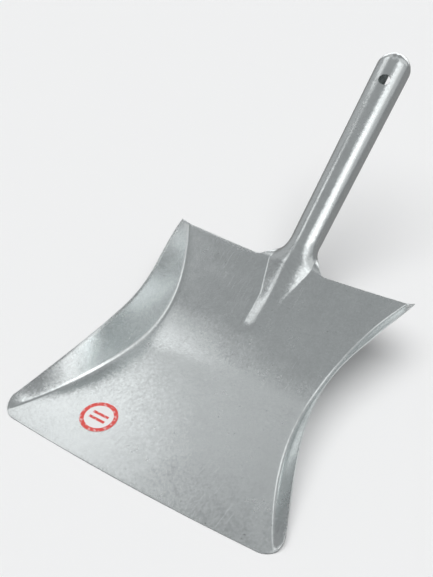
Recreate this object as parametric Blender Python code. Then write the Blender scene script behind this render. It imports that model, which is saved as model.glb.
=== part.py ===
"""Hand scoop pressed from one galvanised steel sheet, with a round paper label.

The blank is a wide rectangle with rounded front corners and a long tongue at
the back.  The side flanges are folded up along two creases that bow inwards,
the floor curls up into the back wall, and the tongue is rolled into a tapered
tube that makes the handle.  The tube is left open in a slot along its
underside and its end is domed.  Metres, +Z up, open front edge towards -Y, handle towards +Y.
The underside of the flat floor is z = 0.
"""
import math

import bmesh
import bpy
from mathutils import Matrix

# Sheet and blank
SHEET = 0.0006              # steel thickness
BLANK_FRONT = 0.110         # half width of the blank at the front corners
BLANK_BACK = 0.1036         # half width of the blank further back
BLANK_FADE = 0.0247         # distance over which the front width fades
CORNER_RADIUS = 0.014       # rounded front corners
FRONT_BOW = 0.0023          # the front edge bows out in the middle
BACK_DIP = 0.0043           # the back edge dips in the middle
BACK_DIP_RUN = 0.045        # length of wall that shares the dip

# Side profile of the floor and back wall
FLOOR_FLAT = 0.1077         # flat part of the floor
CURL_RADIUS = 0.1547        # curl from floor to wall
WALL_SLOPE = math.radians(26.5)
WALL_STRAIGHT = 0.0455      # straight part of the wall above the curl
PAN_LENGTH = FLOOR_FLAT + CURL_RADIUS * WALL_SLOPE + WALL_STRAIGHT

# Side flanges: curved crease and fold angle, as smooth curves front to back
CREASE = (0.1079, 0.0765, 0.0602, 0.0645, 0.0969)
FOLD_DEG = (9.0, 109.0, 52.0, 83.0, 39.0)
FOLD_RADIUS = 0.005
MIN_FLANGE = 0.0020         # sliver of flange left at the front corners
MIN_TRIM = 0.0009           # the bend takes up at least this much on each side
MIN_FOLD = 0.0005           # radians; almost flat at the very front
FOLD_START = 0.010          # the fold fades in over this distance

# Raised rib that runs from the back wall into the handle
RIB_START = 0.155
RIB_HEIGHT = 0.00333
RIB_HALF_FRONT = 0.008
RIB_HALF_BACK = 0.018

# Handle tube
AXIS_Y = 0.2242             # a point on the tube's axis
AXIS_Z = 0.0313
HANDLE_SLOPE = math.radians(32.45)
HANDLE_START = -0.0069      # axis distance that meets the back edge
TUBE_RADIUS = 0.0117        # radius of the middle of the sheet at the neck
TUBE_TAPER = 0.01375        # gain in radius per metre of axis
DOME_START = 0.188          # axis distance where the end starts to close
DOME_END_RADIUS = 0.0008
SLOT_HALF = math.radians(25)  # the tube stops this far short of closing underneath
NECK_LENGTH = 0.025         # sheet goes from flat to round over this length
TONGUE_ROOT = 0.030         # half width of the tongue at the back edge
TONGUE_WAIST = 0.0245       # narrowest half width, just past the fillets
TONGUE_FILLET = 0.008
NECK_OPEN = 0.045           # the tongue reaches its full width this far along
HOLE_DIAMETER = 0.0098
HOLE_AXIS = 0.169           # axis distance of the hanging hole
HOLE_TURN = math.radians(9.5)  # the hole sits a little off the ridge line

# Label
LABEL_DIAMETER = 0.027
LABEL_THICKNESS = 0.0002
LABEL_GAP = 0.0003
LABEL_X = -0.0478
LABEL_Y = 0.0328

# The origin sits under the middle of the whole scoop
ORIGIN_Y = 0.197363

# Mesh density
TONGUE_COLUMNS = 12
SIDE_COLUMNS = 5
FOLD_COLUMNS = 5
FLANGE_COLUMNS = 4
CORNER_ROWS = 6
FLOOR_ROWS = 8
WALL_ROWS = 14


def clear_scene():
    for item in list(bpy.data.objects):
        bpy.data.objects.remove(item, do_unlink=True)


def smooth(value):
    value = min(max(value, 0.0), 1.0)
    return value * value * (3.0 - 2.0 * value)


def blend_curve(values, t):
    """Bezier curve through a row of driving values."""
    order = len(values) - 1
    total = 0.0
    for index, value in enumerate(values):
        weight = math.comb(order, index) * t ** index * (1.0 - t) ** (order - index)
        total += weight * value
    return total


def profile(s):
    """Point and slope of the floor-and-wall line at distance s from the front."""
    angle = min(max((s - FLOOR_FLAT) / CURL_RADIUS, 0.0), WALL_SLOPE)
    rest = max(s - FLOOR_FLAT - CURL_RADIUS * WALL_SLOPE, 0.0)
    y = min(s, FLOOR_FLAT) + CURL_RADIUS * math.sin(angle) + rest * math.cos(angle)
    z = CURL_RADIUS * (1.0 - math.cos(angle)) + rest * math.sin(angle)
    return y, z, angle


def blank_half(s):
    """Half width of the flat blank, with its rounded front corner."""
    if s < CORNER_RADIUS:
        rise = CORNER_RADIUS - s
        return BLANK_FRONT - CORNER_RADIUS + math.sqrt(CORNER_RADIUS ** 2 - rise ** 2)
    fade = math.exp(-(s - CORNER_RADIUS) / BLANK_FADE)
    return BLANK_BACK + (BLANK_FRONT - BLANK_BACK) * fade


def crease_half(s):
    width = blend_curve(CREASE, min(s / PAN_LENGTH, 1.0))
    return min(width, blank_half(s) - MIN_FLANGE)


def fold_angle(s):
    angle = math.radians(blend_curve(FOLD_DEG, min(s / PAN_LENGTH, 1.0)))
    return max(angle * smooth(s / FOLD_START), MIN_FOLD)


def rib_height(x, s):
    """Height of the raised rib above the wall."""
    end = PAN_LENGTH - BACK_DIP
    along = (s - RIB_START) / (end - RIB_START)
    if along <= 0.0:
        return 0.0
    half = RIB_HALF_FRONT + (RIB_HALF_BACK - RIB_HALF_FRONT) * min(along, 1.0) ** 2
    across = 1.0 - (x / half) ** 2
    if across <= 0.0:
        return 0.0
    rise = 0.4 * min(along, 1.0) + 0.6 * min(along, 1.0) ** 2
    climb = max(s - end, 0.0) * math.tan(HANDLE_SLOPE - WALL_SLOPE)
    return (RIB_HEIGHT * rise + climb) * across ** 2


def wall_point(side, lift, s, x):
    """Place a point of the bent sheet: sideways, along its normal, and along s."""
    y, z, slope = profile(s)
    lift += rib_height(x, s)
    return (side, y - ORIGIN_Y - lift * math.sin(slope), z + lift * math.cos(slope) + SHEET / 2)


def section(s):
    """Right half of the pan's cross-section as (sideways, lift) pairs."""
    crease = crease_half(s)
    flange = blank_half(s) - crease
    angle = fold_angle(s)
    tangent = math.tan(angle / 2)
    trim = min(max(FOLD_RADIUS * tangent, MIN_TRIM), 0.8 * flange)
    radius = trim / tangent
    points = []
    for index in range(TONGUE_COLUMNS + 1):
        points.append((TONGUE_ROOT * index / TONGUE_COLUMNS, 0.0))
    edge = crease - trim
    for index in range(1, SIDE_COLUMNS + 1):
        points.append((TONGUE_ROOT + (edge - TONGUE_ROOT) * index / SIDE_COLUMNS, 0.0))
    for index in range(1, FOLD_COLUMNS + 1):
        turn = angle * index / FOLD_COLUMNS
        points.append((edge + radius * math.sin(turn), radius * (1.0 - math.cos(turn))))
    for index in range(1, FLANGE_COLUMNS + 1):
        run = trim + (flange - trim) * index / FLANGE_COLUMNS
        points.append((crease + run * math.cos(angle), run * math.sin(angle)))
    return points


def shifted(s, x):
    """Distance along the sheet, allowing for the bowed front and dipped back."""
    across = min(abs(x) / crease_half(s), 1.0)
    bow = FRONT_BOW * (1.0 - across ** 2) * max(1.0 - s / 0.03, 0.0)
    back = smooth((s - PAN_LENGTH + BACK_DIP_RUN) / BACK_DIP_RUN)
    dip = BACK_DIP * (1.0 - across ** 1.5) * back
    return s - bow - dip


def pan_stations():
    stations = []
    for index in range(CORNER_ROWS + 1):
        stations.append(CORNER_RADIUS * (1.0 - math.cos(math.pi / 2 * index / CORNER_ROWS)))
    for index in range(1, FLOOR_ROWS + 1):
        stations.append(CORNER_RADIUS + (FLOOR_FLAT - CORNER_RADIUS) * index / FLOOR_ROWS)
    for index in range(1, WALL_ROWS + 1):
        stations.append(FLOOR_FLAT + (PAN_LENGTH - FLOOR_FLAT) * index / WALL_ROWS)
    return stations


def pan_row(s):
    right = section(s)
    row = []
    for x, lift in reversed(right[1:]):
        row.append(wall_point(-x, lift, shifted(s, x), x))
    for x, lift in right:
        row.append(wall_point(x, lift, shifted(s, x), x))
    return row


def tube_radius(along):
    """Radius of the tube at a distance along its axis, with the domed end."""
    radius = TUBE_RADIUS + TUBE_TAPER * along
    if along <= DOME_START:
        return radius
    dome = TUBE_RADIUS + TUBE_TAPER * DOME_START
    return math.sqrt(max(dome ** 2 - (along - DOME_START) ** 2, DOME_END_RADIUS ** 2))


def tongue_half(t, radius):
    """Half width of the tongue in the flat."""
    full = (math.pi - SLOT_HALF) * radius
    waist = TONGUE_WAIST
    if t < TONGUE_FILLET:
        rest = 1.0 - t / TONGUE_FILLET
        waist += (TONGUE_ROOT - TONGUE_WAIST) * (1.0 - math.sqrt(1.0 - rest ** 2))
    return waist + (full - waist) * smooth((t - TONGUE_FILLET) / (NECK_OPEN - TONGUE_FILLET))


def tube_point(x, along, radius):
    turn = x / radius
    out = radius * math.cos(turn)
    y = AXIS_Y + along * math.cos(HANDLE_SLOPE) - out * math.sin(HANDLE_SLOPE)
    z = AXIS_Z + along * math.sin(HANDLE_SLOPE) + out * math.cos(HANDLE_SLOPE)
    return (radius * math.sin(turn), y - ORIGIN_Y, z + SHEET / 2)


def tongue_row(t):
    along = t + HANDLE_START
    radius = tube_radius(along)
    half = tongue_half(t, radius)
    rolled = smooth(t / NECK_LENGTH)
    row = []
    for index in range(-TONGUE_COLUMNS, TONGUE_COLUMNS + 1):
        x = half * index / TONGUE_COLUMNS
        flat = wall_point(x, 0.0, shifted(PAN_LENGTH, x) + t, x)
        tube = tube_point(x, along, radius)
        row.append(tuple(a + (b - a) * rolled for a, b in zip(flat, tube)))
    return row


def tongue_stations():
    stations = [0.0015, 0.0035, 0.006, 0.009, 0.012, 0.015, 0.018, 0.0215, 0.025]
    stations += [0.033, 0.045, 0.065, 0.090, 0.115, 0.140, 0.165]
    dome = tube_radius(DOME_START)
    for degrees in (0.0, 15.0, 30.0, 44.0, 57.0, 69.0, 79.0, 86.5):
        stations.append(DOME_START - HANDLE_START + dome * math.sin(math.radians(degrees)))
    return stations


def build_sheet_mesh():
    """Middle surface of the bent sheet: pan rows, then tongue rows."""
    mesh = bmesh.new()
    rows = [[mesh.verts.new(p) for p in pan_row(s)] for s in pan_stations()]
    for lower, upper in zip(rows, rows[1:]):
        stitch(mesh, lower, upper)
    middle = len(rows[-1]) // 2
    previous = rows[-1][middle - TONGUE_COLUMNS:middle + TONGUE_COLUMNS + 1]
    for t in tongue_stations():
        current = [mesh.verts.new(p) for p in tongue_row(t)]
        stitch(mesh, previous, current)
        previous = current
    data = bpy.data.meshes.new("scoop_body")
    mesh.to_mesh(data)
    mesh.free()
    return data


def stitch(mesh, lower, upper):
    for index in range(len(lower) - 1):
        mesh.faces.new((lower[index], lower[index + 1], upper[index + 1], upper[index]))


def make_object(name, data, material):
    item = bpy.data.objects.new(name, data)
    bpy.context.scene.collection.objects.link(item)
    data.materials.append(material)
    return item


def make_hole_cutter():
    """Drill that pierces the upper wall of the tube near its end."""
    mesh = bmesh.new()
    bmesh.ops.create_cone(mesh, cap_ends=True, segments=24, radius1=HOLE_DIAMETER / 2,
                          radius2=HOLE_DIAMETER / 2, depth=0.02)
    bmesh.ops.translate(mesh, vec=(0.0, 0.0, TUBE_RADIUS), verts=mesh.verts)
    turn = Matrix.Rotation(HANDLE_SLOPE, 4, "X") @ Matrix.Rotation(HOLE_TURN, 4, "Y")
    y = AXIS_Y - ORIGIN_Y + HOLE_AXIS * math.cos(HANDLE_SLOPE)
    z = AXIS_Z + SHEET / 2 + HOLE_AXIS * math.sin(HANDLE_SLOPE)
    bmesh.ops.transform(mesh, matrix=Matrix.Translation((0.0, y, z)) @ turn, verts=mesh.verts)
    data = bpy.data.meshes.new("hole_cutter")
    mesh.to_mesh(data)
    mesh.free()
    cutter = bpy.data.objects.new("hole_cutter", data)
    bpy.context.scene.collection.objects.link(cutter)
    cutter.hide_render = True
    cutter.display_type = "WIRE"
    return cutter


def make_body():
    """The one-piece steel scoop: middle surface, thickened, with its hole."""
    body = make_object("scoop_body", build_sheet_mesh(), steel())
    shade_round(body, 35.0)
    thicken = body.modifiers.new("sheet", "SOLIDIFY")
    thicken.thickness = SHEET
    thicken.offset = 0.0
    thicken.use_even_offset = False
    drill = body.modifiers.new("hanging_hole", "BOOLEAN")
    drill.operation = "DIFFERENCE"
    drill.solver = "EXACT"
    drill.object = make_hole_cutter()
    return body


def make_label():
    """Thin paper disc stuck to the floor near the front left corner."""
    mesh = bmesh.new()
    bmesh.ops.create_cone(mesh, cap_ends=True, segments=48, radius1=LABEL_DIAMETER / 2,
                          radius2=LABEL_DIAMETER / 2, depth=LABEL_THICKNESS)
    height = SHEET + LABEL_GAP + LABEL_THICKNESS / 2
    bmesh.ops.translate(mesh, vec=(LABEL_X, LABEL_Y - ORIGIN_Y, height), verts=mesh.verts)
    data = bpy.data.meshes.new("round_label")
    mesh.to_mesh(data)
    mesh.free()
    label = make_object("round_label", data, paper())
    shade_round(label, 40.0)
    return label


def shade_round(item, degrees):
    for face in item.data.polygons:
        face.use_smooth = True
    item.data.set_sharp_from_angle(angle=math.radians(degrees))


def simple_material(name, colour, metallic, roughness):
    material = bpy.data.materials.new(name)
    material.use_nodes = True
    shader = material.node_tree.nodes["Principled BSDF"]
    shader.inputs["Base Color"].default_value = colour
    shader.inputs["Metallic"].default_value = metallic
    shader.inputs["Roughness"].default_value = roughness
    return material


def steel():
    return simple_material("galvanised_steel", (0.42, 0.45, 0.45, 1.0), 0.9, 0.38)


def paper():
    return simple_material("label_paper", (0.80, 0.14, 0.12, 1.0), 0.0, 0.55)


def main():
    clear_scene()
    make_body()
    make_label()


main()
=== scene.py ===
"""Looks of the pressed steel hand scoop.

A finer mesh of the one bent sheet, with its eased, darker rims and zinc coating, and a round paper
label.
Lengths are in metres, in the frame of the CAD model.
"""
import math

import bmesh
import bpy
from mathutils import Matrix, Vector, kdtree, noise


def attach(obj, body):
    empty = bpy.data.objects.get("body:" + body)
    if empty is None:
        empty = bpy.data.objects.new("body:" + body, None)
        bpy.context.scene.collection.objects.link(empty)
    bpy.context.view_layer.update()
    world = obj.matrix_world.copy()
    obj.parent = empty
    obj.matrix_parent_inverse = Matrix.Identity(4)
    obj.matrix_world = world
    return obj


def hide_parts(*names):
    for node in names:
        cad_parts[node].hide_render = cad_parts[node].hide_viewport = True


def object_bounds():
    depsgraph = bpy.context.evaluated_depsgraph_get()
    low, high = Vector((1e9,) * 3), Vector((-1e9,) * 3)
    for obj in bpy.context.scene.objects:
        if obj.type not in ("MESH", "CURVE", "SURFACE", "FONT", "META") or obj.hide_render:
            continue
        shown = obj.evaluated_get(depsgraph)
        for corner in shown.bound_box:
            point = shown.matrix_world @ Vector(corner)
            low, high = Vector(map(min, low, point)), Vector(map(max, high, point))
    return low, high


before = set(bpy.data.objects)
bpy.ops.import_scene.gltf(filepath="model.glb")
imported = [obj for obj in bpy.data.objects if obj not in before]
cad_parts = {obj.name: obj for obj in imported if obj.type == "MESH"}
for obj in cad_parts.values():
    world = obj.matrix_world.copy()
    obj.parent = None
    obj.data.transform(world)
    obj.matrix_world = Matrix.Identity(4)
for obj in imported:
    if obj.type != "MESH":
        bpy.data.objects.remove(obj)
cad_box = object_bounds()

# Sheet and blank, as in the CAD model
SHEET = 0.0006
BLANK_FRONT = 0.110
BLANK_BACK = 0.1036
BLANK_FADE = 0.0247
CORNER_RADIUS = 0.014
FRONT_BOW = 0.0023
FRONT_BOW_RUN = 0.03
BACK_DIP = 0.0043
BACK_DIP_RUN = 0.045
BACK_DIP_POWER = 1.5
FLOOR_FLAT = 0.1077
CURL_RADIUS = 0.1547
WALL_SLOPE = math.radians(26.5)
WALL_STRAIGHT = 0.0455
PAN_LENGTH = FLOOR_FLAT + CURL_RADIUS * WALL_SLOPE + WALL_STRAIGHT

# Side flanges: driving values from front to back of the crease's half width and of the fold in degrees
CREASE = (0.1079, 0.0765, 0.0602, 0.0645, 0.0969)
FOLD_DEG = (9.0, 109.0, 52.0, 83.0, 39.0)
FOLD_RADIUS = 0.005
MIN_FLANGE = 0.0020
MIN_TRIM = 0.0009
MIN_FOLD = 0.0005
MAX_TRIM_SHARE = 0.8
FOLD_START = 0.010

# Rib and handle
RIB_START = 0.158
RIB_NOSE = 0.009
RIB_NOSE_HEIGHT = 0.0014
RIB_HEIGHT = 0.0058
RIB_RISE_POWER = 2.6
RIB_HALF_FRONT = 0.0098
RIB_HALF_BACK = 0.0179
RIB_WIDEN_START = 0.190
RIB_CROWN = 0.35
RIB_CROWN_RIGHT = 1.2
AXIS_Y = 0.2242
AXIS_Z = 0.0313
HANDLE_SLOPE = math.radians(32.45)
HANDLE_START = -0.0069
TUBE_RADIUS = 0.0117
TUBE_TAPER = 0.01375
DOME_START = 0.188
DOME_END_RADIUS = 0.0008
SLOT_HALF = math.radians(25)
NECK_LENGTH = 0.025
TONGUE_ROOT = 0.030
TONGUE_WAIST = 0.0245
TONGUE_FILLET = 0.008
NECK_OPEN = 0.045
HOLE_DIAMETER = 0.0098
HOLE_AXIS = 0.169
HOLE_TURN = math.radians(9.5)
DRILL_DEPTH = 0.02
DRILL_SIDES = 64
ORIGIN_Y = 0.197363

# Pleat in the closed end of the handle
PLEAT_START = 0.184
PLEAT_RUN = 0.008
PLEAT_TURN = math.radians(8.0)
PLEAT_WIDTH = math.radians(11.0)
PLEAT_DEPTH = 0.00055
PLEAT_FOLD = 0.00025
PLEAT_SHARPNESS = 2.0
FOLD_OFFSET = 1.4
FOLD_SHARPNESS = 1.1

# Label
LABEL_DIAMETER = 0.027
LABEL_PAPER = 0.00012
LABEL_X = -0.0478
LABEL_Y = 0.0328
LABEL_GAP = 0.00008
LABEL_CURL = 0.0003
CURL_START = 0.010
CURL_RUN = 0.0035
CURL_TURN = 0.6
RING_OUTER = 0.0134
RING_INNER = 0.0103
BAR_HALF_LENGTH = 0.0065
BAR_HALF_WIDTH = 0.0011
BAR_SHIFT = 0.0024
PRINT_SOFTNESS = 0.00012

# Paper and print
PAPER_WHITE = (0.86, 0.85, 0.84, 1.0)
PRINT_RED = (0.72, 0.075, 0.065, 1.0)
PAPER_TONES = (0.93, 1.03)
PAPER_ROUGHNESS = 0.55
PRINT_ROUGHNESS = 0.38
FIBRE_SCALE = 2600.0
BLOTCH_SCALE = 420.0
WORN_PRINT = 0.55
FIBRE_DEPTH = 0.00003

# Zinc coating: texture scales, then tone and roughness ranges
GRAIN_SCALE = 1500.0
SPANGLE_SCALE = 760.0
CLOUD_SCALE = 38.0
SPECK_SCALE = 620.0
ZINC_TONE = (0.800, 0.835, 0.835)
CRYSTAL_TONES = (0.96, 1.02)
CLOUD_TONES = (0.97, 1.03)
SPECK_TONE = 0.45
# Share of the zinc tone at the sheet's edges, where the rims are coloured darker
RIM_TONE = 0.72
ROUGHNESS = (0.17, 0.24)
CRYSTAL_ROUGHNESS = (-0.03, 0.05)
CRYSTAL_TILT = 0.04
GRAIN_DEPTH = 0.00006
SCRATCH_TURN = 0.35
SCRATCH_SCALE = (1900.0, 26.0, 26.0)
RIM_DULLING = 0.12

# Small marks of making and use
WAVE_HEIGHT = 0.00007
WAVE_SCALE = 32.0
WAVE_SLICE = 0.4
CALM_RUN = 0.02
# Reach of the darker, rougher band along the sheet's edges
EDGE_REACH = 0.0011
EASED_EDGE = 0.00012
EDGE_ANGLE = math.radians(50)
SHARP_ANGLE = math.radians(40)

# Softboxes stand on a sphere round the pan: azimuth and elevation ranges in degrees, and radiance.
# Azimuth 0 is behind the scoop and 90 is to its right.
LIGHT_DISTANCE = 1.3
LIGHT_AIM = (0.0, -0.05, 0.03)
SOFTBOXES = {
    "right_core": ((79.0, 106.0), (14.0, 52.0), 1.30),
    "right_wide": ((50.0, 79.0), (34.0, 62.0), 0.72),
    "right_high": ((76.0, 106.0), (52.0, 68.0), 0.85),
    "right_front": ((108.0, 136.0), (50.0, 63.0), 0.95),
    "right_low": ((88.0, 118.0), (-8.0, 10.0), 1.05),
    "right_low_front": ((108.0, 120.0), (10.0, 27.0), 0.26),
    "right_back_low": ((50.0, 79.0), (12.0, 34.0), 0.24),
    "back_right_strip": ((20.0, 46.0), (14.0, 60.0), 0.38),
    "left_softbox": ((-67.0, -45.0), (34.0, 53.0), 0.80),
    "back_left_panel": ((-45.0, -20.0), (30.0, 57.0), 0.25),
    "left_upper": ((-72.0, -50.0), (53.0, 61.0), 0.30),
    "left_high": ((-106.0, -80.0), (42.0, 54.0), 0.75),
    "left_low": ((-84.0, -48.0), (0.0, 34.0), 0.16),
    "front_left": ((-180.0, -114.0), (22.0, 44.0), 1.90),
    "back_high": ((-20.0, 30.0), (56.0, 68.0), 0.24),
    "back_low": ((-38.0, 14.0), (-4.0, 24.0), 1.20),
}
SUN_STRENGTH = 2.1
SUN_ANGLE = math.radians(70)

# Floor, and the cards just under it that only reflections see
FLOOR_HALF = 20.0
FLOOR_TONE = (0.9, 0.9, 0.9, 1.0)
GREY_CARD = ((8.0, 8.0), (0.0, 0.0, -0.002), 0.27)
WHITE_CARD = ((0.9, 0.6), (0.75, -0.12, -0.001), 1.0)

# Sky tone by height, from the horizon up
SKY = {
    0.0: (0.25, 0.255, 0.26, 1.0),
    0.7: (0.29, 0.295, 0.30, 1.0),
    1.0: (0.33, 0.338, 0.342, 1.0),
}

# Camera
LENS_MM = 52.0
SENSOR_MM = 36.0
CAMERA_TURN = math.radians(32.647)
CAMERA_DIP = math.radians(38.956)
CAMERA_PLACE = (0.2310, -0.2523 - ORIGIN_Y, 0.4300)

# Mesh density of the fine sheet
TONGUE_COLUMNS = 40
SIDE_COLUMNS = 12
FOLD_COLUMNS = 12
FLANGE_COLUMNS = 10
CORNER_ROWS = 14
FLOOR_ROWS = 30
WALL_ROWS = 56
NECK_STEP = 0.0006
NECK_ROWS = 49
TUBE_ROWS = 90
DOME_ROWS = 28
DOME_TURN = 86.5
LABEL_RINGS = 18
LABEL_STEPS = 96


def smooth(value):
    value = min(max(value, 0.0), 1.0)
    return value * value * (3.0 - 2.0 * value)


def blend_curve(values, t):
    """Bezier curve through a row of driving values."""
    order = len(values) - 1
    total = 0.0
    for index, value in enumerate(values):
        weight = math.comb(order, index) * t ** index * (1.0 - t) ** (order - index)
        total += weight * value
    return total


def profile(s):
    """Point and slope of the floor-and-wall line at distance s from the front."""
    angle = min(max((s - FLOOR_FLAT) / CURL_RADIUS, 0.0), WALL_SLOPE)
    rest = max(s - FLOOR_FLAT - CURL_RADIUS * WALL_SLOPE, 0.0)
    y = min(s, FLOOR_FLAT) + CURL_RADIUS * math.sin(angle) + rest * math.cos(angle)
    z = CURL_RADIUS * (1.0 - math.cos(angle)) + rest * math.sin(angle)
    return y, z, angle


def blank_half(s):
    """Half width of the flat blank, with its rounded front corner."""
    if s < CORNER_RADIUS:
        rise = CORNER_RADIUS - s
        return BLANK_FRONT - CORNER_RADIUS + math.sqrt(CORNER_RADIUS ** 2 - rise ** 2)
    fade = math.exp(-(s - CORNER_RADIUS) / BLANK_FADE)
    return BLANK_BACK + (BLANK_FRONT - BLANK_BACK) * fade


def crease_half(s):
    width = blend_curve(CREASE, min(s / PAN_LENGTH, 1.0))
    return min(width, blank_half(s) - MIN_FLANGE)


def fold_angle(s):
    angle = math.radians(blend_curve(FOLD_DEG, min(s / PAN_LENGTH, 1.0)))
    return max(angle * smooth(s / FOLD_START), MIN_FOLD)


def rib_section(u, crown):
    """Share of the rib's height at u half-widths from its middle: flat flanks, rounded crown."""
    foot = math.hypot(1.0, crown)
    return max(foot - math.hypot(u, crown), 0.0) / (foot - crown)


def rib_height(x, s):
    """Height of the raised rib above the wall, rounder on its right towards the neck."""
    end = PAN_LENGTH - BACK_DIP
    if s <= RIB_START:
        return 0.0
    widen = min(max((s - RIB_WIDEN_START) / (end - RIB_WIDEN_START), 0.0), 1.0)
    half = RIB_HALF_FRONT + (RIB_HALF_BACK - RIB_HALF_FRONT) * widen
    along = min((s - RIB_START) / (end - RIB_START), 1.0)
    crown = RIB_CROWN
    if x > 0.0:
        crown += (RIB_CROWN_RIGHT - RIB_CROWN) * smooth(along)
    nose = RIB_NOSE_HEIGHT * smooth((s - RIB_START) / RIB_NOSE)
    rise = nose + (RIB_HEIGHT - RIB_NOSE_HEIGHT) * along ** RIB_RISE_POWER
    climb = max(s - end, 0.0) * math.tan(HANDLE_SLOPE - WALL_SLOPE)
    return (rise + climb) * rib_section(x / half, crown)


def wave(x, s):
    """Faint unevenness of the pressed sheet, fading out at its front and back edges."""
    calm = smooth(s / CALM_RUN) * smooth((PAN_LENGTH - s) / CALM_RUN)
    return WAVE_HEIGHT * calm * noise.noise(Vector((x * WAVE_SCALE, s * WAVE_SCALE, WAVE_SLICE)))


def wall_point(side, lift, s, x):
    """Place a point of the bent sheet: sideways, along its normal, and along s."""
    y, z, slope = profile(s)
    lift += rib_height(x, s) + wave(x, s)
    return (side, y - ORIGIN_Y - lift * math.sin(slope), z + lift * math.cos(slope) + SHEET / 2)


def section(s):
    """Right half of the pan's cross-section as (sideways, lift) pairs."""
    crease = crease_half(s)
    flange = blank_half(s) - crease
    angle = fold_angle(s)
    tangent = math.tan(angle / 2)
    trim = min(max(FOLD_RADIUS * tangent, MIN_TRIM), MAX_TRIM_SHARE * flange)
    radius = trim / tangent
    points = []
    for index in range(TONGUE_COLUMNS + 1):
        points.append((TONGUE_ROOT * index / TONGUE_COLUMNS, 0.0))
    edge = crease - trim
    for index in range(1, SIDE_COLUMNS + 1):
        points.append((TONGUE_ROOT + (edge - TONGUE_ROOT) * index / SIDE_COLUMNS, 0.0))
    for index in range(1, FOLD_COLUMNS + 1):
        turn = angle * index / FOLD_COLUMNS
        points.append((edge + radius * math.sin(turn), radius * (1.0 - math.cos(turn))))
    for index in range(1, FLANGE_COLUMNS + 1):
        run = trim + (flange - trim) * index / FLANGE_COLUMNS
        points.append((crease + run * math.cos(angle), run * math.sin(angle)))
    return points


def shifted(s, x):
    """Distance along the sheet, allowing for the bowed front and dipped back."""
    across = min(abs(x) / crease_half(s), 1.0)
    bow = FRONT_BOW * (1.0 - across ** 2) * max(1.0 - s / FRONT_BOW_RUN, 0.0)
    back = smooth((s - PAN_LENGTH + BACK_DIP_RUN) / BACK_DIP_RUN)
    dip = BACK_DIP * (1.0 - across ** BACK_DIP_POWER) * back
    return s - bow - dip


def pan_stations():
    stations = []
    for index in range(CORNER_ROWS + 1):
        stations.append(CORNER_RADIUS * (1.0 - math.cos(math.pi / 2 * index / CORNER_ROWS)))
    for index in range(1, FLOOR_ROWS + 1):
        stations.append(CORNER_RADIUS + (FLOOR_FLAT - CORNER_RADIUS) * index / FLOOR_ROWS)
    for index in range(1, WALL_ROWS + 1):
        stations.append(FLOOR_FLAT + (PAN_LENGTH - FLOOR_FLAT) * index / WALL_ROWS)
    return stations


def pan_row(s):
    right = section(s)
    row = []
    for x, lift in reversed(right[1:]):
        row.append(wall_point(-x, lift, shifted(s, x), -x))
    for x, lift in right:
        row.append(wall_point(x, lift, shifted(s, x), x))
    return row


def tube_radius(along):
    """Radius of the tube at a distance along its axis, with the domed end."""
    radius = TUBE_RADIUS + TUBE_TAPER * along
    if along <= DOME_START:
        return radius
    dome = TUBE_RADIUS + TUBE_TAPER * DOME_START
    return math.sqrt(max(dome ** 2 - (along - DOME_START) ** 2, DOME_END_RADIUS ** 2))


def tongue_half(t, radius):
    """Half width of the tongue in the flat."""
    full = (math.pi - SLOT_HALF) * radius
    waist = TONGUE_WAIST
    if t < TONGUE_FILLET:
        rest = 1.0 - t / TONGUE_FILLET
        waist += (TONGUE_ROOT - TONGUE_WAIST) * (1.0 - math.sqrt(1.0 - rest ** 2))
    return waist + (full - waist) * smooth((t - TONGUE_FILLET) / (NECK_OPEN - TONGUE_FILLET))


def pleat(turn, along):
    """Radial change where the sheet is gathered into one small pleat at the closed end."""
    reach = smooth((along - PLEAT_START) / PLEAT_RUN)
    offset = (turn - PLEAT_TURN) / PLEAT_WIDTH
    groove = math.exp(-(offset * PLEAT_SHARPNESS) ** 2)
    fold = math.exp(-((offset - FOLD_OFFSET) * FOLD_SHARPNESS) ** 2)
    return reach * (PLEAT_FOLD * fold - PLEAT_DEPTH * groove)


def tube_point(x, along, radius):
    turn = x / radius
    radius += pleat(turn, along)
    out = radius * math.cos(turn)
    y = AXIS_Y + along * math.cos(HANDLE_SLOPE) - out * math.sin(HANDLE_SLOPE)
    z = AXIS_Z + along * math.sin(HANDLE_SLOPE) + out * math.cos(HANDLE_SLOPE)
    return (radius * math.sin(turn), y - ORIGIN_Y, z + SHEET / 2)


def tongue_row(t):
    along = t + HANDLE_START
    radius = tube_radius(along)
    half = tongue_half(t, radius)
    rolled = smooth(t / NECK_LENGTH)
    row = []
    for index in range(-TONGUE_COLUMNS, TONGUE_COLUMNS + 1):
        x = half * index / TONGUE_COLUMNS
        flat = wall_point(x, 0.0, shifted(PAN_LENGTH, x) + t, x)
        tube = tube_point(x, along, radius)
        row.append(tuple(a + (b - a) * rolled for a, b in zip(flat, tube)))
    return row


def tongue_stations():
    """Close rows through the neck, wider ones along the tube, close again round the dome."""
    stations = [NECK_STEP * step for step in range(1, NECK_ROWS + 1)]
    start = stations[-1]
    end = DOME_START - HANDLE_START
    for step in range(1, TUBE_ROWS + 1):
        stations.append(start + (end - start) * step / TUBE_ROWS)
    dome = tube_radius(DOME_START)
    for step in range(1, DOME_ROWS + 1):
        stations.append(end + dome * math.sin(math.radians(DOME_TURN) * step / DOME_ROWS))
    return stations


def stitch(mesh, lower, upper):
    for index in range(len(lower) - 1):
        mesh.faces.new((lower[index], lower[index + 1], upper[index + 1], upper[index]))


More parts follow.
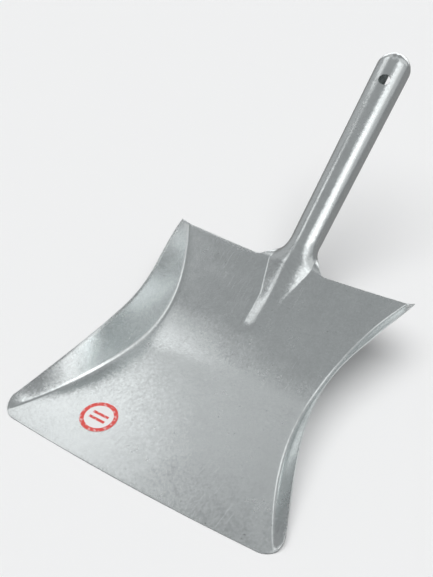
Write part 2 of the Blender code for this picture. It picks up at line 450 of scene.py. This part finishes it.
def sheet_mesh():
    """Middle surface of the bent sheet: pan rows, then tongue rows."""
    mesh = bmesh.new()
    rows = [[mesh.verts.new(p) for p in pan_row(s)] for s in pan_stations()]
    for lower, upper in zip(rows, rows[1:]):
        stitch(mesh, lower, upper)
    middle = len(rows[-1]) // 2
    previous = rows[-1][middle - TONGUE_COLUMNS:middle + TONGUE_COLUMNS + 1]
    for t in tongue_stations():
        current = [mesh.verts.new(p) for p in tongue_row(t)]
        stitch(mesh, previous, current)
        previous = current
    data = bpy.data.meshes.new("steel_sheet")
    mesh.to_mesh(data)
    mesh.free()
    return data


def add_object(name, data, material):
    item = bpy.data.objects.new(name, data)
    bpy.context.scene.collection.objects.link(item)
    data.materials.append(material)
    return item


def make_hole_cutter():
    """Drill that pierces the upper wall of the tube near its end."""
    mesh = bmesh.new()
    bmesh.ops.create_cone(mesh, cap_ends=True, segments=DRILL_SIDES, radius1=HOLE_DIAMETER / 2,
                          radius2=HOLE_DIAMETER / 2, depth=DRILL_DEPTH)
    bmesh.ops.translate(mesh, vec=(0.0, 0.0, TUBE_RADIUS), verts=mesh.verts)
    turn = Matrix.Rotation(HANDLE_SLOPE, 4, "X") @ Matrix.Rotation(HOLE_TURN, 4, "Y")
    y = AXIS_Y - ORIGIN_Y + HOLE_AXIS * math.cos(HANDLE_SLOPE)
    z = AXIS_Z + SHEET / 2 + HOLE_AXIS * math.sin(HANDLE_SLOPE)
    bmesh.ops.transform(mesh, matrix=Matrix.Translation((0.0, y, z)) @ turn, verts=mesh.verts)
    data = bpy.data.meshes.new("hole_cutter")
    mesh.to_mesh(data)
    mesh.free()
    cutter = bpy.data.objects.new("hole_cutter", data)
    bpy.context.scene.collection.objects.link(cutter)
    return cutter


def apply_modifiers(item):
    """Turn the modifiers' result into the object's own mesh."""
    graph = bpy.context.evaluated_depsgraph_get()
    data = bpy.data.meshes.new_from_object(item.evaluated_get(graph))
    item.modifiers.clear()
    item.data = data


def edge_tree(data):
    """Search tree of the points along the sheet's open edges."""
    mesh = bmesh.new()
    mesh.from_mesh(data)
    points = [vertex.co.copy() for vertex in mesh.verts if vertex.is_boundary]
    mesh.free()
    tree = kdtree.KDTree(len(points))
    for index, point in enumerate(points):
        tree.insert(point, index)
    tree.balance()
    return tree


def keep_inside(data):
    """Hold the eased sheet within the outline of the CAD model."""
    low, high = cad_box
    for vertex in data.vertices:
        for axis in range(3):
            vertex.co[axis] = min(max(vertex.co[axis], low[axis]), high[axis])


def mark_edge_nearness(data, tree):
    """Store how near each point lies to an edge of the sheet, for the darker, rougher rim."""
    wear = data.attributes.new("edge_nearness", "FLOAT", "POINT")
    for index, vertex in enumerate(data.vertices):
        gap = tree.find(vertex.co)[2]
        wear.data[index].value = math.exp(-gap / EDGE_REACH)


def make_steel_sheet():
    middle = sheet_mesh()
    edges = edge_tree(middle)
    item = add_object("steel_sheet", middle, galvanised_steel())
    thicken = item.modifiers.new("sheet", "SOLIDIFY")
    thicken.thickness = SHEET
    thicken.offset = 0.0
    cutter = make_hole_cutter()
    drill = item.modifiers.new("hanging_hole", "BOOLEAN")
    drill.operation = "DIFFERENCE"
    drill.solver = "EXACT"
    drill.object = cutter
    apply_modifiers(item)
    bpy.data.objects.remove(cutter, do_unlink=True)
    ease = item.modifiers.new("worn_edges", "BEVEL")
    ease.width = EASED_EDGE
    ease.segments = 2
    ease.limit_method = "ANGLE"
    ease.angle_limit = EDGE_ANGLE
    apply_modifiers(item)
    keep_inside(item.data)
    mark_edge_nearness(item.data, edges)
    item.data.shade_smooth()
    item.data.set_sharp_from_angle(angle=SHARP_ANGLE)
    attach(item, "root")
    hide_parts("scoop_body")


# Materials

def node(tree, kind, **values):
    item = tree.nodes.new(kind)
    for name, value in values.items():
        if hasattr(item, name) and name not in item.inputs:
            setattr(item, name, value)
        else:
            item.inputs[name].default_value = value
    return item


def ramp_node(tree, low, high, low_value, high_value):
    """Map range that runs from low_value at low to high_value at high."""
    item = tree.nodes.new("ShaderNodeMapRange")
    item.inputs["From Min"].default_value = low
    item.inputs["From Max"].default_value = high
    item.inputs["To Min"].default_value = low_value
    item.inputs["To Max"].default_value = high_value
    return item


def maths(tree, operation, first, second):
    """Maths node fed by two sockets or numbers."""
    item = tree.nodes.new("ShaderNodeMath")
    item.operation = operation
    for socket, source in zip(item.inputs, (first, second)):
        if isinstance(source, float):
            socket.default_value = source
        else:
            tree.links.new(source, socket)
    return item.outputs["Value"]


def steel_normal(tree, spangle, grain, scratch):
    """Zinc crystals tilt a little each way, over a fine grain and light scratches."""
    link = tree.links.new
    surface = tree.nodes.new("ShaderNodeNewGeometry")
    centre = node(tree, "ShaderNodeVectorMath", operation="SUBTRACT")
    link(spangle.outputs["Color"], centre.inputs[0])
    centre.inputs[1].default_value = (0.5, 0.5, 0.5)
    tilt = node(tree, "ShaderNodeVectorMath", operation="SCALE")
    link(centre.outputs["Vector"], tilt.inputs[0])
    tilt.inputs["Scale"].default_value = CRYSTAL_TILT
    total = node(tree, "ShaderNodeVectorMath", operation="ADD")
    link(surface.outputs["Normal"], total.inputs[0])
    link(tilt.outputs["Vector"], total.inputs[1])
    unit = node(tree, "ShaderNodeVectorMath", operation="NORMALIZE")
    link(total.outputs["Vector"], unit.inputs[0])
    height = maths(tree, "ADD", grain.outputs["Fac"], scratch)
    bump = node(tree, "ShaderNodeBump", Strength=0.5, Distance=GRAIN_DEPTH)
    link(height, bump.inputs["Height"])
    link(unit.outputs["Vector"], bump.inputs["Normal"])
    return bump.outputs["Normal"]


def scratch_lines(tree, place):
    """Fine scratches along the sheet, drawn out from a stretched noise."""
    stretch = node(tree, "ShaderNodeMapping")
    stretch.inputs["Rotation"].default_value = (0.0, 0.0, SCRATCH_TURN)
    stretch.inputs["Scale"].default_value = SCRATCH_SCALE
    lines = node(tree, "ShaderNodeTexNoise", Scale=1.0, Detail=2.0)
    scratch = ramp_node(tree, 0.66, 0.74, 0.0, 0.5)
    tree.links.new(place.outputs["Object"], stretch.inputs["Vector"])
    tree.links.new(stretch.outputs["Vector"], lines.inputs["Vector"])
    tree.links.new(lines.outputs["Fac"], scratch.inputs["Value"])
    return scratch.outputs["Result"]


def steel_colour(tree, crystals, cloud, speck, near_edge):
    """Zinc tone with lighter and darker crystals, a cloudy bloom, dark specks and rims darkened near
    the sheet's edges.
    """
    link = tree.links.new
    crystal = ramp_node(tree, 0.0, 1.0, *CRYSTAL_TONES)
    link(crystals.outputs["Red"], crystal.inputs["Value"])
    bloom = ramp_node(tree, 0.3, 0.7, *CLOUD_TONES)
    link(cloud.outputs["Fac"], bloom.inputs["Value"])
    dark = ramp_node(tree, 0.76, 0.80, 1.0, SPECK_TONE)
    link(speck.outputs["Fac"], dark.inputs["Value"])
    # Darker band along the sheet's edges, broken up by the cloud noise
    ragged = maths(tree, "MULTIPLY", near_edge.outputs["Fac"], cloud.outputs["Fac"])
    rim = ramp_node(tree, 0.15, 0.6, 1.0, RIM_TONE)
    link(ragged, rim.inputs["Value"])
    value = maths(tree, "MULTIPLY", crystal.outputs["Result"], bloom.outputs["Result"])
    value = maths(tree, "MULTIPLY", value, dark.outputs["Result"])
    value = maths(tree, "MULTIPLY", value, rim.outputs["Result"])
    tint = node(tree, "ShaderNodeVectorMath", operation="SCALE")
    tint.inputs[0].default_value = ZINC_TONE
    link(value, tint.inputs["Scale"])
    return tint.outputs["Vector"]


def steel_roughness(tree, crystals, cloud, near_edge):
    """Roughness that changes slowly over the sheet, a little per crystal, and rises at the rims."""
    base = ramp_node(tree, 0.3, 0.7, *ROUGHNESS)
    tree.links.new(cloud.outputs["Fac"], base.inputs["Value"])
    facet = ramp_node(tree, 0.0, 1.0, *CRYSTAL_ROUGHNESS)
    tree.links.new(crystals.outputs["Green"], facet.inputs["Value"])
    rough = maths(tree, "ADD", base.outputs["Result"], facet.outputs["Result"])
    dull = maths(tree, "MULTIPLY", near_edge.outputs["Fac"], RIM_DULLING)
    return maths(tree, "ADD", rough, dull)


def galvanised_steel():
    material = bpy.data.materials.new("galvanised_steel")
    material.use_nodes = True
    tree = material.node_tree
    link = tree.links.new
    shader = tree.nodes["Principled BSDF"]
    shader.inputs["Metallic"].default_value = 1.0
    place = tree.nodes.new("ShaderNodeTexCoord")
    grain = node(tree, "ShaderNodeTexNoise", Scale=GRAIN_SCALE, Detail=3.0, Roughness=0.65)
    spangle = node(tree, "ShaderNodeTexVoronoi", Scale=SPANGLE_SCALE)
    cloud = node(tree, "ShaderNodeTexNoise", Scale=CLOUD_SCALE, Detail=5.0, Roughness=0.6)
    speck = node(tree, "ShaderNodeTexNoise", Scale=SPECK_SCALE, Detail=1.0)
    for texture in (grain, spangle, cloud, speck):
        link(place.outputs["Object"], texture.inputs["Vector"])
    crystals = tree.nodes.new("ShaderNodeSeparateColor")
    link(spangle.outputs["Color"], crystals.inputs["Color"])
    near_edge = tree.nodes.new("ShaderNodeAttribute")
    near_edge.attribute_name = "edge_nearness"
    scratch = scratch_lines(tree, place)
    link(steel_normal(tree, spangle, grain, scratch), shader.inputs["Normal"])
    link(steel_colour(tree, crystals, cloud, speck, near_edge), shader.inputs["Base Color"])
    link(steel_roughness(tree, crystals, cloud, near_edge), shader.inputs["Roughness"])
    return material


def band(tree, source, low, high):
    """One between low and high, zero outside, with a soft printed edge."""
    rise = ramp_node(tree, low - PRINT_SOFTNESS, low + PRINT_SOFTNESS, 0.0, 1.0)
    fall = ramp_node(tree, high - PRINT_SOFTNESS, high + PRINT_SOFTNESS, 1.0, 0.0)
    tree.links.new(source, rise.inputs["Value"])
    tree.links.new(source, fall.inputs["Value"])
    return maths(tree, "MULTIPLY", rise.outputs["Result"], fall.outputs["Result"])


def label_print(tree, place):
    """Mask of the printed pattern: a plain ring and two plain bars."""
    length = node(tree, "ShaderNodeVectorMath", operation="LENGTH")
    tree.links.new(place.outputs["Object"], length.inputs[0])
    split = tree.nodes.new("ShaderNodeSeparateXYZ")
    tree.links.new(place.outputs["Object"], split.inputs["Vector"])
    ring = band(tree, length.outputs["Value"], RING_INNER, RING_OUTER)
    wide = band(tree, split.outputs["X"], -BAR_HALF_LENGTH, BAR_HALF_LENGTH)
    mask = ring
    for shift in (-BAR_SHIFT, BAR_SHIFT):
        tall = band(tree, split.outputs["Y"], shift - BAR_HALF_WIDTH, shift + BAR_HALF_WIDTH)
        mask = maths(tree, "MAXIMUM", mask, maths(tree, "MULTIPLY", wide, tall))
    return mask


def label_paper():
    material = bpy.data.materials.new("label_paper")
    material.use_nodes = True
    tree = material.node_tree
    link = tree.links.new
    shader = tree.nodes["Principled BSDF"]
    place = tree.nodes.new("ShaderNodeTexCoord")
    fibre = node(tree, "ShaderNodeTexNoise", Scale=FIBRE_SCALE, Detail=4.0, Roughness=0.7)
    blotch = node(tree, "ShaderNodeTexNoise", Scale=BLOTCH_SCALE, Detail=3.0)
    for texture in (fibre, blotch):
        link(place.outputs["Object"], texture.inputs["Vector"])
    wear = ramp_node(tree, 0.38, 0.46, WORN_PRINT, 1.0)
    link(blotch.outputs["Fac"], wear.inputs["Value"])
    mask = maths(tree, "MULTIPLY", label_print(tree, place), wear.outputs["Result"])
    blend = node(tree, "ShaderNodeMix", data_type="RGBA")
    link(mask, blend.inputs["Factor"])
    blend.inputs["A"].default_value = PAPER_WHITE
    blend.inputs["B"].default_value = PRINT_RED
    shade = ramp_node(tree, 0.3, 0.7, *PAPER_TONES)
    link(fibre.outputs["Fac"], shade.inputs["Value"])
    tint = node(tree, "ShaderNodeVectorMath", operation="SCALE")
    link(blend.outputs["Result"], tint.inputs[0])
    link(shade.outputs["Result"], tint.inputs["Scale"])
    link(tint.outputs["Vector"], shader.inputs["Base Color"])
    satin = ramp_node(tree, 0.0, 1.0, PAPER_ROUGHNESS, PRINT_ROUGHNESS)
    link(mask, satin.inputs["Value"])
    link(satin.outputs["Result"], shader.inputs["Roughness"])
    bump = node(tree, "ShaderNodeBump", Strength=0.3, Distance=FIBRE_DEPTH)
    link(fibre.outputs["Fac"], bump.inputs["Height"])
    link(bump.outputs["Normal"], shader.inputs["Normal"])
    return material


def label_mesh():
    """Thin disc whose rim lifts a little on one side."""
    mesh = bmesh.new()
    centre = mesh.verts.new((0.0, 0.0, 0.0))
    previous = None
    for ring in range(1, LABEL_RINGS + 1):
        radius = LABEL_DIAMETER / 2 * ring / LABEL_RINGS
        current = []
        for step in range(LABEL_STEPS):
            a = math.tau * step / LABEL_STEPS
            side = max(math.sin(a + CURL_TURN), 0.0) ** 3
            lift = LABEL_CURL * smooth((radius - CURL_START) / CURL_RUN) * side
            current.append(mesh.verts.new((radius * math.cos(a), radius * math.sin(a), lift)))
        for step in range(LABEL_STEPS):
            following = (step + 1) % LABEL_STEPS
            if previous is None:
                mesh.faces.new((centre, current[step], current[following]))
            else:
                mesh.faces.new((previous[step], current[step], current[following], previous[following]))
        previous = current
    data = bpy.data.meshes.new("paper_label")
    mesh.to_mesh(data)
    mesh.free()
    return data


def make_label():
    """Paper disc stuck to the floor near the front left corner."""
    item = add_object("paper_label", label_mesh(), label_paper())
    item.location = (LABEL_X, LABEL_Y - ORIGIN_Y, SHEET + LABEL_PAPER / 2 + LABEL_GAP)
    thicken = item.modifiers.new("paper", "SOLIDIFY")
    thicken.thickness = LABEL_PAPER
    thicken.offset = 0.0
    bpy.context.view_layer.update()
    apply_modifiers(item)
    item.data.shade_smooth()
    item.data.set_sharp_from_angle(angle=SHARP_ANGLE)
    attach(item, "root")
    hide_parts("round_label")


# Studio

def glow_card(name, size, place, brightness):
    """Glowing card just under the floor that only the scoop's reflections can see."""
    mesh = bmesh.new()
    bmesh.ops.create_grid(mesh, x_segments=1, y_segments=1, size=0.5)
    data = bpy.data.meshes.new(name)
    mesh.to_mesh(data)
    mesh.free()
    material = bpy.data.materials.new(name)
    material.use_nodes = True
    tree = material.node_tree
    tree.nodes.remove(tree.nodes["Principled BSDF"])
    glow = tree.nodes.new("ShaderNodeEmission")
    glow.inputs["Color"].default_value = (1.0, 1.0, 1.0, 1.0)
    glow.inputs["Strength"].default_value = brightness
    tree.links.new(glow.outputs["Emission"], tree.nodes["Material Output"].inputs["Surface"])
    card = add_object(name, data, material)
    card.scale = (size[0], size[1], 1.0)
    card.location = (place[0], place[1], cad_box[0][2] + place[2])
    card.visible_camera = False
    card.visible_diffuse = False
    card.visible_shadow = False


def make_floor():
    mesh = bmesh.new()
    bmesh.ops.create_grid(mesh, x_segments=1, y_segments=1, size=FLOOR_HALF)
    data = bpy.data.meshes.new("studio_floor")
    mesh.to_mesh(data)
    mesh.free()
    material = bpy.data.materials.new("studio_floor")
    material.use_nodes = True
    shader = material.node_tree.nodes["Principled BSDF"]
    shader.inputs["Base Color"].default_value = FLOOR_TONE
    shader.inputs["Roughness"].default_value = 1.0
    shader.inputs["Specular IOR Level"].default_value = 0.0
    floor = add_object("studio_floor", data, material)
    floor.location.z = cad_box[0][2]
    floor.visible_glossy = False
    glow_card("grey_card", *GREY_CARD)
    glow_card("white_card", *WHITE_CARD)


def area_light(name, away, width, height, radiance):
    """Rectangular light that faces the scoop from the direction away; only reflections see it."""
    data = bpy.data.lights.new(name, "AREA")
    data.shape = "RECTANGLE"
    data.size = width
    data.size_y = height
    data.energy = radiance * math.pi * width * height
    item = bpy.data.objects.new(name, data)
    bpy.context.scene.collection.objects.link(item)
    item.location = Vector(LIGHT_AIM) + away * LIGHT_DISTANCE
    item.rotation_euler = away.to_track_quat("Z", "Y").to_euler()
    item.visible_camera = False
    item.visible_diffuse = False


def softbox(name, azimuth, elevation, radiance):
    """Soft light that fills a range of directions, in degrees."""
    a = math.radians(azimuth[0] + azimuth[1]) / 2
    e = math.radians(elevation[0] + elevation[1]) / 2
    width = 2.0 * LIGHT_DISTANCE * math.tan(math.radians(azimuth[1] - azimuth[0]) / 2) * math.cos(e)
    height = 2.0 * LIGHT_DISTANCE * math.tan(math.radians(elevation[1] - elevation[0]) / 2)
    away = Vector((math.sin(a) * math.cos(e), math.cos(a) * math.cos(e), math.sin(e)))
    area_light(name, away, width, height, radiance)


def make_sun():
    """Wide light from straight above for the floor and the label, unseen in the steel."""
    data = bpy.data.lights.new("floor_light", "SUN")
    data.energy = SUN_STRENGTH
    data.angle = SUN_ANGLE
    item = bpy.data.objects.new("floor_light", data)
    bpy.context.scene.collection.objects.link(item)
    item.visible_glossy = False


def make_lights():
    for name, values in SOFTBOXES.items():
        softbox(name, *values)
    make_sun()


def make_world():
    world = bpy.data.worlds.new("studio")
    bpy.context.scene.world = world
    world.use_nodes = True
    tree = world.node_tree
    back = tree.nodes["Background"]
    place = tree.nodes.new("ShaderNodeTexCoord")
    split = tree.nodes.new("ShaderNodeSeparateXYZ")
    ramp = tree.nodes.new("ShaderNodeValToRGB")
    ramp.color_ramp.interpolation = "EASE"
    horizon, middle, top = sorted(SKY)
    ramp.color_ramp.elements[0].position = horizon
    ramp.color_ramp.elements[0].color = SKY[horizon]
    ramp.color_ramp.elements[1].position = top
    ramp.color_ramp.elements[1].color = SKY[top]
    ramp.color_ramp.elements.new(middle).color = SKY[middle]
    tree.links.new(place.outputs["Generated"], split.inputs["Vector"])
    tree.links.new(split.outputs["Z"], ramp.inputs["Fac"])
    tree.links.new(ramp.outputs["Color"], back.inputs["Color"])


def make_camera():
    data = bpy.data.cameras.new("camera")
    data.lens = LENS_MM
    data.sensor_width = SENSOR_MM
    item = bpy.data.objects.new("camera", data)
    bpy.context.scene.collection.objects.link(item)
    item.location = CAMERA_PLACE
    flat = math.cos(CAMERA_DIP)
    look = Vector((-math.sin(CAMERA_TURN) * flat, math.cos(CAMERA_TURN) * flat, -math.sin(CAMERA_DIP)))
    item.rotation_euler = look.to_track_quat("-Z", "Y").to_euler()
    bpy.context.scene.camera = item


make_steel_sheet()
make_label()
make_floor()
make_lights()
make_world()
make_camera()
bpy.context.scene.view_settings.view_transform = "Standard"
